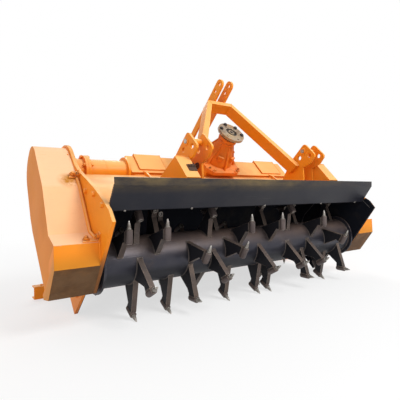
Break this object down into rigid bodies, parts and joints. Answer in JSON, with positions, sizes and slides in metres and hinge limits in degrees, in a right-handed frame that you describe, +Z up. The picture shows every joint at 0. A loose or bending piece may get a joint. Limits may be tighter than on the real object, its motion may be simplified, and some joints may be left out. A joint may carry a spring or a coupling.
{
  "type": "soil mixer",
  "caption": "Tractor-mounted soil mixer: toothed rotor under a wide hood, side drive case, A-frame three-point hitch, PTO gearbox, skids and hinged rear door, parked nose-up.",
  "frame": {"origin": "centre of the bounding box, on the floor the machine is parked on", "axes": "+X across the machine to its right-hand end, -Y horizontally towards the tractor, +Z up; the machine leans back 45 degrees about X as parked"},
  "size_m": [2.496, 0.9794, 1.4442],
  "materials": {
    "orange_paint": "satin",
    "cast_orange": "rough cast, painted",
    "charcoal_paint": "satin, with overspray along the lip",
    "worn_steel": "dark, heat tinted and scuffed",
    "hard_tips": "bare and worn",
    "bright_steel": "turned",
    "machined_steel": "turned, stained"
  },
  "bodies": {
    "frame": {"beam_cap": "orange_paint", "beam_collar_left": "orange_paint", "beam_collar_right": "orange_paint", "beam_rail": "orange_paint", "bearing_housing": "cast_orange", "cross_tube": "orange_paint", "door_lug_left_a": "orange_paint", "door_lug_left_b": "orange_paint", "door_lug_right_a": "orange_paint", "door_lug_right_b": "orange_paint", "door_pin_left": "bright_steel", "door_pin_right": "bright_steel", "drive_case": "orange_paint", "front_deflector": "charcoal_paint", "gearbox_foot": "orange_paint", "gearbox_housing": "cast_orange", "hitch_pin_left": "bright_steel", "hitch_pin_right": "bright_steel", "hitch_plate_left_inner": "orange_paint", "hitch_plate_left_outer": "orange_paint", "hitch_plate_right_inner": "orange_paint", "hitch_plate_right_outer": "orange_paint", "hitch_wing_left": "orange_paint", "hitch_wing_right": "orange_paint", "hood_shell": "orange_paint", "main_beam": "orange_paint", "mast_brace_left": "orange_paint", "mast_brace_right": "orange_paint", "mast_frame": "orange_paint", "shaft_sleeve": "orange_paint", "side_plate_left": "orange_paint", "side_plate_right": "orange_paint", "skid_left": "orange_paint", "skid_right": "orange_paint", "top_link_plate_left": "orange_paint", "top_link_plate_right": "orange_paint"},
    "rotor": {"rotor_drum": "worn_steel", "rotor_ring_left": "worn_steel", "rotor_ring_right": "worn_steel", "rotor_stub_left": "bright_steel", "rotor_stub_right": "bright_steel", "rotor_arms": "worn_steel", "rotor_picks": "hard_tips"},
    "input": {"input_flange": "machined_steel"},
    "door": {"rear_door": "orange_paint", "door_bar": "orange_paint"}
  },
  "joints": [
    {"name": "rotor_spin", "type": "hinge", "parent": "frame", "child": "rotor", "pos_m": [0, -0.16653, 0.31406], "axis": [-1, 0, 0], "continuous": true},
    {"name": "input_spin", "type": "hinge", "parent": "frame", "child": "input", "pos_m": [0, -0.03643, 1.06642], "axis": [0, -0.7071, 0.7071], "continuous": true},
    {"name": "door_swing", "type": "hinge", "parent": "frame", "child": "door", "pos_m": [0, 0.44168, 0.35355], "axis": [1, 0, 0], "range_deg": [-45, 60]}
  ],
  "couplings": [
    {"joint": "input_spin", "follows": "rotor_spin", "ratio": 3.9}
  ]
}
